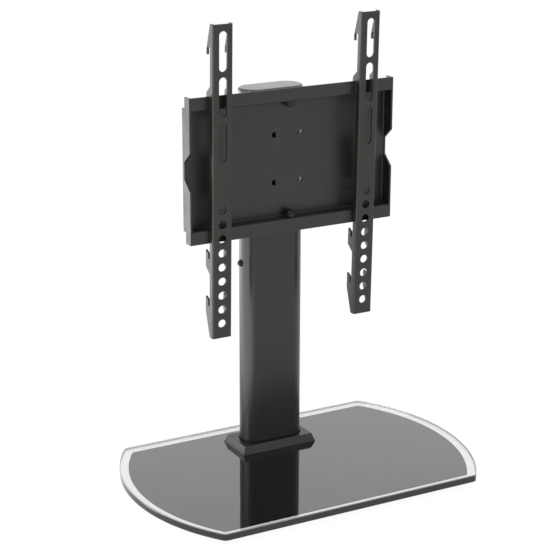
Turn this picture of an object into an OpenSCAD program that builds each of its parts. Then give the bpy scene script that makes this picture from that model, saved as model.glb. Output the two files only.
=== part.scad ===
// Table-top screen stand: a glass base, an upright column, a swivelling
// steel mounting plate and two hook-on rails that slide along it.
// Millimetres. X is the stand's width, Y runs from front to back, Z is up.
// The origin is on the table under the middle of the glass base.

/* [Base] */
// Front-to-back depth of the glass
base_depth = 240; // [200:1:300]
// Length of the straight front and back edges of the glass
base_straight = 295; // [240:1:360]
// How far each curved end bulges past the straight edges
base_bulge = 41; // [20:1:60]
// Thickness of the glass
glass_t = 8; // [6:0.5:12]
// Corner radius of the glass
corner_r = 7; // [3:0.5:15]
// Clear border round the black print
print_border = 9.5; // [5:0.5:20]
// Height of the rubber feet
foot_h = 8; // [6.5:0.5:14]
// Diameter of the rubber feet
foot_d = 24; // [15:1:30]

/* [Column] */
// Width of the column
column_w = 70; // [60:1:90]
// Depth of the column
column_d = 32; // [28:1:40]
// Wall thickness of the column
column_wall = 2.5; // [2:0.1:3]
// Distance of the column's middle behind the middle of the base
column_back = 62; // [50:1:80]
// Height of the cap's top above the table
column_top = 412; // [380:1:440]
// Thickness of the cap above the column
cap_t = 5; // [3:0.5:8]
// Height of the bevelled collar
collar_h = 9; // [6:0.5:14]
// Height of the dome-head screw on the left flank
side_screw_z = 225.5; // [120:0.5:260]

/* [Mounting plate] */
// Width of the plate
plate_w = 235; // [220:1:300]
// Height over both lips
plate_h = 149.5; // [140:0.5:155]
// Depth from the lips to the back
plate_depth = 16; // [15:0.5:17]
// Sheet thickness of the plate
plate_t = 2; // [1.5:0.1:2.2]
// Height of the plate's middle above the table
plate_mid_z = 343.5; // [335:0.5:350]
// Y of the lips' front faces
plate_front = 12; // [10:0.5:13]
// Distance of the upper and lower webs' outer faces from the middle
web_reach = 63; // [61:0.5:64]
// Width between the access holes
hole_grid_x = 30; // [26:1:36]
// Height between the access holes
hole_grid_z = 50; // [40:1:60]

/* [Rails] */
// Length of each rail
rail_len = 322.5; // [315:0.5:340]
// Width of each rail
rail_w = 22; // [20:0.5:26]
// Sheet thickness of the rails
rail_t = 2; // [1.5:0.1:2.5]
// Depth of the rails' side flanges
flange_d = 7; // [6:0.5:8]
// X of the left rail's middle
left_rail_x = -85.4; // [-100:0.1:-30]
// X of the right rail's middle
right_rail_x = 82.2; // [30:0.1:100]
// Forward lean of the rails in degrees
rail_lean = 1.2; // [1:0.05:1.2]
// Diameter of the rails' holes and width of their slots
hole_d = 8.7; // [8:0.1:9]
// Distance between neighbouring holes
hole_pitch = 15; // [12:0.5:16]

/* [Hidden] */
$fn = 72;

eps = 1;
skin = 0.01;
print_t = 0.2;
glass_top = foot_h + glass_t;

// Clearances: round a thread, a shank, a bolt through a plate, and a loose fit
thread_gap = 0.05;
sink_gap = 0.1;
bolt_gap = 0.15;
screw_gap = 0.2;
loose_gap = 0.3;

// Anchor under the glass
anchor_t = 3;
anchor_w = 76;
anchor_d = 30;
anchor_x = 20;
anchor_screw_r = 4;
anchor_head_r = 7;
anchor_screw_len = 28;
bush_r = 6.7;
gasket_t = 0.8;
foot_block_h = 36;
foot_x = 125;
foot_y = 85;

// Column and what is inside it
column_foot_z = glass_top + gasket_t;
column_end_z = column_top - cap_t;
column_front = column_back - column_d / 2;
column_rear = column_back + column_d / 2;
inner_w = column_w - 2 * column_wall;
inner_d = column_d - 2 * column_wall;
cap_overhang = 1;
cap_chamfer = 0.8;
spigot_h = 12;
spigot_wall = 2.3;
collar_w = 89;
collar_d = 47;
collar_top_w = 82.2;
collar_top_d = 40;
collar_gap = 0.8;
foot_screw_x = 10;
foot_screw_z = column_foot_z + 22;
foot_screw_r = 2.5;
foot_screw_head_r = 4.6;
foot_screw_head_h = 2.1;
foot_screw_len = 9;
side_seat = 0.5;
side_head_r = 3.8;
side_head_h = 3.6;
side_dome_r = 4;
side_shank_r = 2;
side_shank_len = 8.5;
side_nut_af = 7;
side_nut_h = 3.2;
side_nut_x = -column_w / 2 + 3.2;

// Swivel bracket, its screws and the pivots
bracket_t = 3;
pad_t = 1.5;
pad_half_h = 61;
bracket_half_w = 22;
bracket_screw_r = 3;
bracket_head_r = 5;
bracket_head_h = 3.4;
bracket_screw_len = 14;
bracket_washer_r = 5.6;
bracket_washer_t = 1;
key_size = 4.6;
key_depth = 1.5;
nut_plate_t = 5;
nut_plate_half_w = 18.5;
nut_plate_half_h = 38;
bracket_back = column_front - pad_t;
bracket_face = bracket_back - bracket_t;
pivot_y = plate_front + 8;
pivot_r = 3;
pivot_washer_t = 1.4;
pivot_gap = 0.2;
arm_drop = web_reach + pivot_gap + pivot_washer_t;
arm_tip_r = 5.6;
arm_half_w = 12;
arm_neck = 11;
nut_h = 6;
nut_af = 10;
nut_gap = 0.02;
bolt_head_r = 5.2;
bolt_head_h = 3.6;
bolt_tail = 1;

// Mounting plate
plate_back = plate_front + plate_depth;
ear_depth = 10.5;
cutout_outer = 19.6;
cutout_inner = 8.6;
cutout_depth = 12.5;
bend_r = 1.8;
inner_bend_r = 0.8;
end_bend_r = 1.4;
access_r = 3;
pivot_hole_r = pivot_r + 0.06;

// Rails
rail_mid_z = 329.2;
rail_gap = 0.2;
notch_d = 5.6;
finger_t = 2.2;
low_notch_d = 3.3;
low_finger_t = 5.4;
tip_drop = 2.7;
lower_contact = rail_mid_z - (plate_mid_z - plate_h / 2);
rail_front = plate_front - rail_gap - flange_d - lower_contact * sin(rail_lean);
rail_bend_r = 2.4;
hole_count = 9;
first_hole = 15.4;
slot_count = 3;
slot_len = 40;
slot_pitch = 45.4;
first_slot = 26.8;

// Hooks, measured up the rail: each notch, the slope behind it and its finger
hook_root = 2;
top_notch = 299.3;
top_corner = 296.5;
top_finger = 7.5;
seat_notch = 250.3;
seat_slope = 260.9;
seat_corner = 254;
seat_finger = 6;
lower_notch = 83.9;
lower_slope = 67.7;
lower_corner = 74.5;
lower_finger = 8.1;
bottom_notch = 33.4;
bottom_slope = 1;
bottom_corner = 26.5;
bottom_finger = 9.1;

function arc(cx, cy, r, a0, a1, steps) =
    [for (i = [0 : steps]) [cx + r * cos(a0 + (a1 - a0) * i / steps),
                            cy + r * sin(a0 + (a1 - a0) * i / steps)]];

// The D-ended outline, pulled in by a border and with rounded corners
function end_radius() = (pow(base_depth / 2, 2) + pow(base_bulge, 2)) / (2 * base_bulge);
function quarter(border, r) =
    let (big = end_radius(),
         cx = base_straight / 2 + base_bulge - big,
         half = base_depth / 2 - border,
         cy = half - r,
         x = cx + sqrt(pow(big - border - r, 2) - pow(cy, 2)),
         lean = atan2(cy, x - cx))
    concat(arc(cx, 0, big - border, 0, lean, 16), arc(x, cy, r, lean, 90, 6));
function flip_x(points) = [for (p = points) [-p[0], p[1]]];
function flip_y(points) = [for (p = points) [p[0], -p[1]]];
function backwards(points) = [for (i = [len(points) - 1 : -1 : 1]) points[i]];
function base_outline(border, r) =
    let (q = quarter(border, r),
         upper = concat(q, backwards(flip_x(q))),
         left_end = [[-q[0][0], 0]],
         lower = concat(flip_x(flip_y([for (i = [1 : len(q) - 1]) q[i]])), backwards(flip_y(q))))
    concat(upper, left_end, lower);

// A racetrack: straight sides and fully round ends
module racetrack(w, d) {
    square([w - d, d], center = true);
    for (side = [-1, 1])
        translate([side * (w - d) / 2, 0]) circle(d = d);
}

module column_block(w, d, z, h) {
    translate([0, column_back, z]) linear_extrude(h) racetrack(w, d);
}

// What is left of a square corner outside its rounding
module corner_waste(r) {
    difference() {
        translate([-eps, -eps]) square([r + eps, r + eps]);
        translate([r, r]) circle(r);
    }
}

module along_y(x, z, y, length, r) {
    translate([x, y, z]) rotate([-90, 0, 0]) cylinder(h = length, r = r);
}

module anchor_places() {
    for (side = [-1, 1])
        translate([side * anchor_x, column_back, 0]) children();
}

module bracket_places() {
    for (side = [-1, 1], level = [-1, 1])
        translate([side * hole_grid_x / 2, 0, plate_mid_z + level * hole_grid_z / 2]) children();
}

module hex_nut(af, h, r) {
    difference() {
        cylinder(h = h, d = af / cos(30), $fn = 6);
        translate([0, 0, -eps]) cylinder(h = h + 2 * eps, r = r);
    }
}

module glass_base() {
    color("DimGray", 0.4) difference() {
        translate([0, 0, foot_h]) linear_extrude(glass_t) polygon(base_outline(0, corner_r));
        anchor_places() translate([0, 0, foot_h - eps])
            cylinder(h = glass_t + 2 * eps, r = bush_r + sink_gap);
    }
}

module underside_print() {
    color("#161616") difference() {
        translate([0, 0, foot_h - print_t]) linear_extrude(print_t)
            polygon(base_outline(print_border, corner_r / 2));
        anchor_places() translate([0, 0, foot_h - print_t - eps])
            cylinder(h = print_t + 2 * eps, r = bush_r + sink_gap);
    }
}

module rubber_feet() {
    color("#202020") for (side = [-1, 1], end = [-1, 1])
        translate([side * foot_x, end * foot_y, 0]) cylinder(h = foot_h - print_t, d = foot_d);
}

module anchor_plate() {
    z = foot_h - print_t - anchor_t;
    color("#8a8a8a") difference() {
        translate([0, column_back, z]) linear_extrude(anchor_t)
            square([anchor_w, anchor_d], center = true);
        anchor_places() translate([0, 0, z - skin])
            cylinder(h = anchor_t + 2 * skin, r1 = anchor_head_r + sink_gap, r2 = anchor_screw_r + sink_gap);
    }
}

module anchor_screws() {
    z = foot_h - print_t - anchor_t;
    color("#9a9a98") anchor_places() union() {
        translate([0, 0, z]) cylinder(h = anchor_t, r1 = anchor_head_r, r2 = anchor_screw_r);
        translate([0, 0, z + anchor_t]) cylinder(h = anchor_screw_len, r = anchor_screw_r);
    }
}

module glass_bushes() {
    color("#d8d8d4") anchor_places() translate([0, 0, foot_h]) difference() {
        cylinder(h = glass_t, r = bush_r);
        translate([0, 0, -eps]) cylinder(h = glass_t + 2 * eps, r = anchor_screw_r + screw_gap);
    }
}

module foot_gasket() {
    color("#242424") difference() {
        column_block(column_w, column_d, glass_top, gasket_t);
        anchor_places() translate([0, 0, glass_top - eps])
            cylinder(h = gasket_t + 2 * eps, r = anchor_screw_r + screw_gap);
    }
}

module column_foot() {
    color("#7c7c7a") difference() {
        column_block(inner_w - 2 * loose_gap, inner_d - 2 * loose_gap, column_foot_z, foot_block_h);
        anchor_places() translate([0, 0, column_foot_z - eps])
            cylinder(h = foot_block_h + 2 * eps, r = anchor_screw_r + thread_gap);
        for (side = [-1, 1])
            along_y(side * foot_screw_x, foot_screw_z, column_back, column_d, foot_screw_r + thread_gap);
    }
}

// Countersunk screws through the column's rear wall
module foot_screws() {
    color("#9a9a98") for (side = [-1, 1])
        translate([side * foot_screw_x, column_rear, foot_screw_z]) rotate([90, 0, 0]) union() {
            cylinder(h = foot_screw_head_h, r1 = foot_screw_head_r, r2 = foot_screw_r);
            translate([0, 0, foot_screw_head_h]) cylinder(h = foot_screw_len, r = foot_screw_r);
        }
}

module column() {
    color("#3c3c3c") difference() {
        column_block(column_w, column_d, column_foot_z, column_end_z - column_foot_z);
        column_block(inner_w, inner_d, column_foot_z - eps, column_end_z);
        bracket_places()
            along_y(0, 0, column_front - eps, column_wall + 2 * eps, bracket_screw_r + screw_gap);
        for (side = [-1, 1])
            translate([side * foot_screw_x, column_rear + skin, foot_screw_z]) rotate([90, 0, 0])
                cylinder(h = column_wall + 2 * skin, r1 = foot_screw_head_r + bolt_gap,
                    r2 = foot_screw_r + bolt_gap);
        translate([-column_w / 2 - eps, column_back, side_screw_z]) rotate([0, 90, 0])
            cylinder(h = eps + side_seat, r = side_head_r + loose_gap);
        translate([-column_w / 2 - eps, column_back, side_screw_z]) rotate([0, 90, 0])
            cylinder(h = 2 * eps + column_wall, r = side_shank_r + bolt_gap);
    }
}

module collar() {
    color("#3a3a38") difference() {
        translate([0, column_back, glass_top]) linear_extrude(collar_h,
            scale = [collar_top_w / collar_w, collar_top_d / collar_d])
            square([collar_w, collar_d], center = true);
        column_block(column_w + 2 * collar_gap, column_d + 2 * collar_gap, glass_top - eps,
            collar_h + 2 * eps);
    }
}

// The lid's rim is chamfered: a trapezoid between two cones
module lid(w, d, z, h) {
    straight = w - d;
    column_block(w, d, z, h - cap_chamfer);
    for (side = [-1, 1])
        translate([side * straight / 2, column_back, z + h - cap_chamfer])
            cylinder(h = cap_chamfer, r1 = d / 2, r2 = d / 2 - cap_chamfer);
    translate([-straight / 2, column_back, z + h - cap_chamfer]) rotate([90, 0, 90])
        linear_extrude(straight) polygon([[-d / 2, 0], [d / 2, 0],
            [d / 2 - cap_chamfer, cap_chamfer], [-d / 2 + cap_chamfer, cap_chamfer]]);
}

module column_cap() {
    over = 2 * cap_overhang;
    slack = 2 * screw_gap;
    hollow = slack + 2 * spigot_wall;
    color("#2b2b2b") union() {
        lid(column_w + over, column_d + over, column_end_z, cap_t);
        difference() {
            column_block(inner_w - slack, inner_d - slack, column_end_z - spigot_h, spigot_h + eps);
            column_block(inner_w - hollow, inner_d - hollow, column_end_z - spigot_h - eps, spigot_h + eps);
        }
    }
}

module side_screw() {
    color("#2c2c2c") translate([-column_w / 2 + side_seat, column_back, side_screw_z])
        rotate([0, -90, 0]) union() {
            intersection() {
                cylinder(h = side_head_h, r = side_head_r);
                translate([0, 0, side_head_h - side_dome_r]) sphere(r = side_dome_r);
            }
            translate([0, 0, -side_shank_len]) cylinder(h = side_shank_len + side_seat, r = side_shank_r);
        }
}

module side_nut() {
    color("#9a9a98") translate([side_nut_x, column_back, side_screw_z]) rotate([0, 90, 0])
        hex_nut(side_nut_af, side_nut_h, side_shank_r + thread_gap);
}

module bracket_nut_plate() {
    color("#8a8a8a") difference() {
        translate([-nut_plate_half_w, column_front + column_wall, plate_mid_z - nut_plate_half_h])
            cube([2 * nut_plate_half_w, nut_plate_t, 2 * nut_plate_half_h]);
        bracket_places()
            along_y(0, 0, column_front, column_d / 2, bracket_screw_r + thread_gap);
    }
}

// The arm's outline: wide at the column, narrow and round at the pivot
module arm_outline() {
    union() {
        polygon([[-arm_half_w, bracket_face + bracket_t / 2], [-arm_half_w, pivot_y + arm_neck],
                 [-arm_tip_r, pivot_y], [arm_tip_r, pivot_y],
                 [arm_half_w, pivot_y + arm_neck], [arm_half_w, bracket_face + bracket_t / 2]]);
        translate([0, pivot_y]) circle(arm_tip_r);
    }
}

module swivel_bracket() {
    half = arm_drop + bracket_t;
    color("#303030") difference() {
        union() {
            translate([-bracket_half_w, bracket_face, plate_mid_z - half])
                cube([2 * bracket_half_w, bracket_t, 2 * half]);
            for (level = [arm_drop, -half])
                translate([0, 0, plate_mid_z + level]) linear_extrude(bracket_t) arm_outline();
        }
        bracket_places()
            along_y(0, 0, bracket_face - eps, bracket_t + 2 * eps, bracket_screw_r + screw_gap);
        translate([0, pivot_y, plate_mid_z - half - eps])
            cylinder(h = 2 * half + 2 * eps, r = pivot_r + bolt_gap);
    }
}

// A thin pad keeps the bracket off the column's finish and clear of the cap's rim
module bracket_pad() {
    color("#202020") difference() {
        translate([-nut_plate_half_w, bracket_back, plate_mid_z - pad_half_h])
            cube([2 * nut_plate_half_w, pad_t, 2 * pad_half_h]);
        bracket_places()
            along_y(0, 0, bracket_back - eps, pad_t + 2 * eps, bracket_screw_r + screw_gap);
    }
}

module bracket_washers() {
    color("#9a9a98") bracket_places() difference() {
        along_y(0, 0, bracket_face - bracket_washer_t, bracket_washer_t, bracket_washer_r);
        along_y(0, 0, bracket_face - bracket_washer_t - eps, bracket_washer_t + 2 * eps,
            bracket_screw_r + screw_gap);
    }
}

module bracket_screws() {
    seat = bracket_face - bracket_washer_t;
    color("#6a6a6a") bracket_places() difference() {
        union() {
            along_y(0, 0, seat - bracket_head_h, bracket_head_h, bracket_head_r);
            along_y(0, 0, seat, bracket_screw_len, bracket_screw_r);
        }
        translate([0, seat - bracket_head_h + key_depth, 0]) rotate([90, 0, 0])
            cylinder(h = key_depth + eps, d = key_size, $fn = 6);
    }
}

// Pivot parts are drawn for the upper pivot, measured up from the plate's middle
module pivot_bolt_shape() {
    seat = arm_drop + bracket_t;
    tail = web_reach - plate_t - pivot_gap - nut_h - bolt_tail;
    translate([0, pivot_y, 0]) difference() {
        union() {
            translate([0, 0, tail]) cylinder(h = seat - tail, r = pivot_r);
            translate([0, 0, seat]) cylinder(h = bolt_head_h, r = bolt_head_r);
        }
        translate([0, 0, seat + bolt_head_h - key_depth])
            cylinder(h = key_depth + eps, d = key_size, $fn = 6);
    }
}

module pivot_washer_shape() {
    translate([0, pivot_y, web_reach + pivot_gap]) difference() {
        cylinder(h = pivot_washer_t, r = arm_tip_r);
        translate([0, 0, -eps]) cylinder(h = pivot_washer_t + 2 * eps, r = pivot_r + bolt_gap);
    }
}

module pivot_nut_shape() {
    translate([0, pivot_y, web_reach - plate_t - pivot_gap - nut_h])
        hex_nut(nut_af, nut_h, pivot_r + nut_gap);
}

module at_upper_pivot() {
    translate([0, 0, plate_mid_z]) children();
}

module at_lower_pivot() {
    translate([0, 0, plate_mid_z]) mirror([0, 0, 1]) children();
}

module upper_pivot_bolt() {
    color("#6a6a6a") at_upper_pivot() pivot_bolt_shape();
}

module upper_pivot_washer() {
    color("#d8d8d4") at_upper_pivot() pivot_washer_shape();
}

module upper_pivot_nut() {
    color("#3a3a3a") at_upper_pivot() pivot_nut_shape();
}

module lower_pivot_bolt() {
    color("#6a6a6a") at_lower_pivot() pivot_bolt_shape();
}

module lower_pivot_washer() {
    color("#d8d8d4") at_lower_pivot() pivot_washer_shape();
}

module lower_pivot_nut() {
    color("#3a3a3a") at_lower_pivot() pivot_nut_shape();
}

// Half of the folded section, from the middle up: back, web and upright lip.
// Its X is the plate's Y and its Y is height above the middle.
module folded_half() {
    lip_top = plate_h / 2;
    difference() {
        union() {
            translate([plate_back - plate_t, 0]) square([plate_t, web_reach]);
            translate([plate_front, web_reach - plate_t]) square([plate_depth, plate_t]);
            translate([plate_front, web_reach - plate_t])
                square([plate_t, lip_top - web_reach + plate_t]);
        }
        translate([plate_front, web_reach - plate_t]) corner_waste(bend_r);
        translate([plate_back, web_reach]) rotate(180) corner_waste(bend_r);
    }
    translate([plate_back - plate_t, web_reach - plate_t]) rotate(180) corner_waste(inner_bend_r);
}

// The fillets inside the bends between the back and the two ends
module end_fillets() {
    inside = web_reach - plate_t;
    for (side = [0, 1]) mirror([side, 0, 0])
        translate([plate_w / 2 - plate_t, plate_back - plate_t, plate_mid_z - inside - eps])
            linear_extrude(2 * (inside + eps)) rotate(180) corner_waste(end_bend_r);
}

// The plate's end, seen along X: ears that close the lip channels and a cut-out in front
module end_outline() {
    lip_top = plate_h / 2;
    polygon([[plate_front, -lip_top], [plate_front + ear_depth, -lip_top],
             [plate_front + ear_depth, -web_reach], [plate_back, -web_reach],
             [plate_back, web_reach], [plate_front + ear_depth, web_reach],
             [plate_front + ear_depth, lip_top], [plate_front, lip_top],
             [plate_front, cutout_outer], [plate_front + cutout_depth, cutout_inner],
             [plate_front + cutout_depth, -cutout_inner], [plate_front, -cutout_outer]]);
}

// Turns a section drawn with Y across and Z up into a solid that runs along X
module run_along_x(x, length) {
    translate([x, 0, plate_mid_z]) rotate([90, 0, 90]) linear_extrude(length) children();
}

module mounting_plate() {
    color("#3c3c3a") difference() {
        union() {
            run_along_x(-plate_w / 2, plate_w) {
                folded_half();
                mirror([0, 1]) folded_half();
            }
            for (x = [-plate_w / 2, plate_w / 2 - plate_t])
                run_along_x(x, plate_t) end_outline();
            end_fillets();
        }
        bracket_places() along_y(0, 0, plate_back - plate_t - eps, plate_t + 2 * eps, access_r);
        translate([0, pivot_y, plate_mid_z - plate_h / 2])
            cylinder(h = plate_h, r = pivot_hole_r);
    }
}

// A rail stands on its lower end here, with its face in the XZ plane at y = 0
module rail_channel() {
    inner = rail_w - 2 * rail_t;
    linear_extrude(rail_len) difference() {
        translate([-rail_w / 2, 0]) square([rail_w, flange_d]);
        translate([-inner / 2, rail_t]) square([inner, flange_d]);
        translate([-rail_w / 2, 0]) corner_waste(rail_bend_r);
        translate([rail_w / 2, 0]) mirror([1, 0]) corner_waste(rail_bend_r);
    }
}

// A hook whose notch is at height s. Its back slopes from the flange out to a corner, and
// its finger reaches past the notch: down where reach is negative, up where it isn't.
// A slanted tip is lower by drop on the notch's side.
module hook(s, slope, corner, reach, notch, finger, drop) {
    depth = flange_d + notch + finger;
    polygon([[flange_d - hook_root, slope], [flange_d, slope], [depth, corner],
             [depth, s + reach], [depth - finger, s + reach - drop], [depth - finger, s],
             [flange_d, s], [flange_d - hook_root, s]]);
}

module rail_hooks() {
    hook(top_notch, rail_len, top_corner, -top_finger, notch_d, finger_t, 0);
    hook(seat_notch, seat_slope, seat_corner, -seat_finger, notch_d, finger_t, 0);
    hook(lower_notch, lower_slope, lower_corner, lower_finger, low_notch_d, low_finger_t, tip_drop);
    hook(bottom_notch, bottom_slope, bottom_corner, bottom_finger, low_notch_d, low_finger_t,
         tip_drop);
}

module rail_slot(s) {
    half = (slot_len - hole_d) / 2;
    translate([-hole_d / 2, -eps, s - half]) cube([hole_d, rail_t + 2 * eps, 2 * half]);
    for (end = [-1, 1])
        along_y(0, s + end * half, -eps, rail_t + 2 * eps, hole_d / 2);
}

module rail(x) {
    translate([x, rail_front, rail_mid_z]) rotate([rail_lean, 0, 0]) translate([0, 0, -rail_len / 2])
        difference() {
            union() {
                rail_channel();
                for (edge = [-rail_w / 2, rail_w / 2 - rail_t])
                    translate([edge, 0, 0]) rotate([90, 0, 90]) linear_extrude(rail_t) rail_hooks();
            }
            for (i = [0 : slot_count - 1]) rail_slot(rail_len - first_slot - i * slot_pitch);
            for (i = [0 : hole_count - 1])
                along_y(0, first_hole + i * hole_pitch, -eps, rail_t + 2 * eps, hole_d / 2);
        }
}

module left_rail() {
    color("#434341") rail(left_rail_x);
}

module right_rail() {
    color("#434341") rail(right_rail_x);
}

glass_base();
underside_print();
rubber_feet();
anchor_plate();
anchor_screws();
glass_bushes();
foot_gasket();
column_foot();
foot_screws();
column();
collar();
column_cap();
side_screw();
side_nut();
bracket_nut_plate();
swivel_bracket();
bracket_pad();
bracket_washers();
bracket_screws();
upper_pivot_bolt();
upper_pivot_washer();
upper_pivot_nut();
lower_pivot_bolt();
lower_pivot_washer();
lower_pivot_nut();
mounting_plate();
left_rail();
right_rail();
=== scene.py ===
# %% [markdown]
# A table-top stand for a screen: a printed glass base, an upright column with a
# cap and a collar, a folded steel plate that swivels on the column, and two
# punched rails that hook over the plate and carry the screen. The construction
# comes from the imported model. This lesson gives it its surfaces: rounded edges,
# fasteners with sockets and chamfers, real glass, and coatings with a grain.

import math

import bmesh
import bpy
from mathutils import Euler, Matrix, Vector


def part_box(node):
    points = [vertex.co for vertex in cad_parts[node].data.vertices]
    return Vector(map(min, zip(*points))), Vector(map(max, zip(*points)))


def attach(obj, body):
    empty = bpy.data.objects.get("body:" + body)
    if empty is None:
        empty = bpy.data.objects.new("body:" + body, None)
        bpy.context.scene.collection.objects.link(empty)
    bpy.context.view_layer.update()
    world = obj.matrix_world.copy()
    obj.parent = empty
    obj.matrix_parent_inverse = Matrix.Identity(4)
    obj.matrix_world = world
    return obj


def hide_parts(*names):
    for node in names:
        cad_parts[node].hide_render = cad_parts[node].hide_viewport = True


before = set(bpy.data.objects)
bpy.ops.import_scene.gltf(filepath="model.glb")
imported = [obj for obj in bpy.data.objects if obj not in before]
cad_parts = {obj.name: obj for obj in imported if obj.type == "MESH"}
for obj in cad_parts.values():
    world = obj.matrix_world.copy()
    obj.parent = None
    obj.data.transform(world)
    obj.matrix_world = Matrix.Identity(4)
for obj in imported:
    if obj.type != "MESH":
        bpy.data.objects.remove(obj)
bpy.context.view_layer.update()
MM = 0.001
MICRON = 0.001 * MM

# %% [markdown]
# The camera stands where the photographer's stood: left of the middle, above the
# stand and nearly two metres away, with a long lens. Its turn, tilt and roll came
# from fitting the straight edges of the stand to the picture, so the same numbers
# are kept here as angles and a place, and the lens is worked out from the fit's
# focal length in picture widths.

# %% Camera
SENSOR_WIDTH = 36.0
FOCAL_IN_WIDTHS = 3.148
camera_place = Vector((-0.84621, -1.49075, 0.76859))
turn = math.radians(-28.83)
tilt = math.radians(17.68)
roll = math.radians(0.19)


def camera_axes():
    """The camera's own X, Y and Z directions, from its turn, tilt and roll."""
    level_right = Vector((math.cos(turn), math.sin(turn), 0))
    level_ahead = Vector((-math.sin(turn), math.cos(turn), 0))
    straight_up = Vector((0, 0, 1))
    up = straight_up * math.cos(tilt) + level_ahead * math.sin(tilt)
    ahead = level_ahead * math.cos(tilt) - straight_up * math.sin(tilt)
    x_axis = level_right * math.cos(roll) + up * math.sin(roll)
    y_axis = up * math.cos(roll) - level_right * math.sin(roll)
    return x_axis, y_axis, -ahead


camera_data = bpy.data.cameras.new("photo_camera")
camera_data.sensor_width = SENSOR_WIDTH
camera_data.lens = SENSOR_WIDTH * FOCAL_IN_WIDTHS
camera = bpy.data.objects.new("photo_camera", camera_data)
bpy.context.scene.collection.objects.link(camera)
facing = Matrix(camera_axes()).transposed().to_4x4()
camera.matrix_world = Matrix.Translation(camera_place) @ facing
bpy.context.scene.camera = camera
bpy.context.scene.view_settings.view_transform = "Standard"
print("lens, mm", round(camera_data.lens, 2))

# %% [markdown]
# Materials and Geometry Nodes trees are both graphs. Writing one by hand is mostly
# making a node, setting a few sockets and joining it to the next, so small helpers
# do that. Everything below uses them.

# %% Helpers for node graphs


def feed(tree, node, sockets):
    """Sets a node's input sockets, or links them where the value is another socket."""
    for key, value in sockets.items():
        target = node.inputs[key]
        if isinstance(value, bpy.types.NodeSocket):
            tree.links.new(value, target)
        else:
            target.default_value = value


def add_node(tree, kind, sockets=None, **settings):
    """Adds a node, sets its properties, then feeds its input sockets."""
    node = tree.nodes.new(kind)
    for key, value in settings.items():
        setattr(node, key, value)
    feed(tree, node, sockets or {})
    return node


def maths(tree, operation, first, second=0.0):
    """One step of arithmetic on numbers or sockets."""
    return add_node(tree, "ShaderNodeMath", {0: first, 1: second}, operation=operation).outputs[0]


def grey(value, tint=(1.0, 1.0, 1.0)):
    """An opaque colour of one brightness, with an optional slight tint."""
    return (value * tint[0], value * tint[1], value * tint[2], 1.0)


def empty_material(name):
    """A new material, and its tree with nothing in it yet."""
    material = bpy.data.materials.new(name)
    material.use_nodes = True
    material.node_tree.nodes.clear()
    return material, material.node_tree


def show(tree, shader):
    """Joins a shader to the material's output."""
    add_node(tree, "ShaderNodeOutputMaterial", {"Surface": shader.outputs[0]})


# %% [markdown]
# The photograph was taken in a white studio: the ground and the background are
# both blown out. Turning the lamps up until a floor clips would spoil every other
# surface, so the white is a matter of who is looking. Rays from the camera, and
# those reflected by gloss or sent through glass, see a white surrounding, and
# all other rays get a plain soft light.

# %% World
SKY_LIGHT = 0.53
world = bpy.data.worlds.new("studio")
bpy.context.scene.world = world
world.use_nodes = True
sky = world.node_tree
sky.nodes.clear()


def seen_directly(tree):
    """1 for rays from the camera, from gloss and through glass, otherwise 0."""
    path = add_node(tree, "ShaderNodeLightPath")
    either = maths(tree, "MAXIMUM", path.outputs["Is Camera Ray"], path.outputs["Is Glossy Ray"])
    return maths(tree, "MAXIMUM", either, path.outputs["Is Transmission Ray"])


plain_sky = add_node(sky, "ShaderNodeBackground", {"Color": grey(1.0), "Strength": SKY_LIGHT})
white_sky = add_node(sky, "ShaderNodeBackground", {"Color": grey(1.0), "Strength": 1.0})
sky_mix = add_node(sky, "ShaderNodeMixShader", {0: seen_directly(sky),
    1: plain_sky.outputs[0], 2: white_sky.outputs[0]})
add_node(sky, "ShaderNodeOutputWorld", {"Surface": sky_mix.outputs[0]})
print("sky strength for soft light", SKY_LIGHT)

# %% [markdown]
# The floor is one large pale sheet. It is a diffuse surface for the light that
# bounces under the stand, and mostly plain white to the camera, with a share of
# the real shading left in so that the stand's shadow stays.

# %% Floor
FLOOR_REACH = 9.0
FLOOR_SHADOW_SHARE = 0.12
FLOOR_WHITE = 1.08
FLOOR_GREY = 0.82


def floor_material():
    """Diffuse for soft light, and mostly white where it is looked at."""
    material, tree = empty_material("pale_floor")
    lit = add_node(tree, "ShaderNodeBsdfDiffuse", {"Color": grey(FLOOR_GREY)})
    white = add_node(tree, "ShaderNodeEmission", {"Color": grey(1.0), "Strength": FLOOR_WHITE})
    share = maths(tree, "MULTIPLY", seen_directly(tree), 1 - FLOOR_SHADOW_SHARE)
    mixed = add_node(tree, "ShaderNodeMixShader", {0: share, 1: lit.outputs[0], 2: white.outputs[0]})
    show(tree, mixed)
    return material


floor_mesh = bpy.data.meshes.new("floor")
signs = ((-1, -1), (1, -1), (1, 1), (-1, 1))
corners = [(x * FLOOR_REACH, y * FLOOR_REACH, 0) for x, y in signs]
floor_mesh.from_pydata(corners, [], [(0, 1, 2, 3)])
floor_mesh.materials.append(floor_material())
floor = bpy.data.objects.new("floor", floor_mesh)
bpy.context.scene.collection.objects.link(floor)
print("floor, m", 2 * FLOOR_REACH)

# %% [markdown]
# Black objects are lit by what they mirror. From this camera, which looks down,
# the stand's left faces and the column's left flank mirror the studio floor to
# the left and behind, and the photograph shows them as bright bands of one
# strength from top to bottom. So the main lamps are wide sheets of light that lie
# on the floor there and face up, unseen by the camera. The lower parts mirror the
# near sheet, the rails and the plate's end mirror the far one, and a small sheet
# in front, on the left, lifts what leans that way. Two weak panels stand further
# out for the collar's sides, a small high lamp draws the light line along the
# collar's bevel, and a faint wide one hangs overhead.

# %% Lamps
GLOW_HEIGHT = 0.004
HAIR = 0.0001


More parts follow.
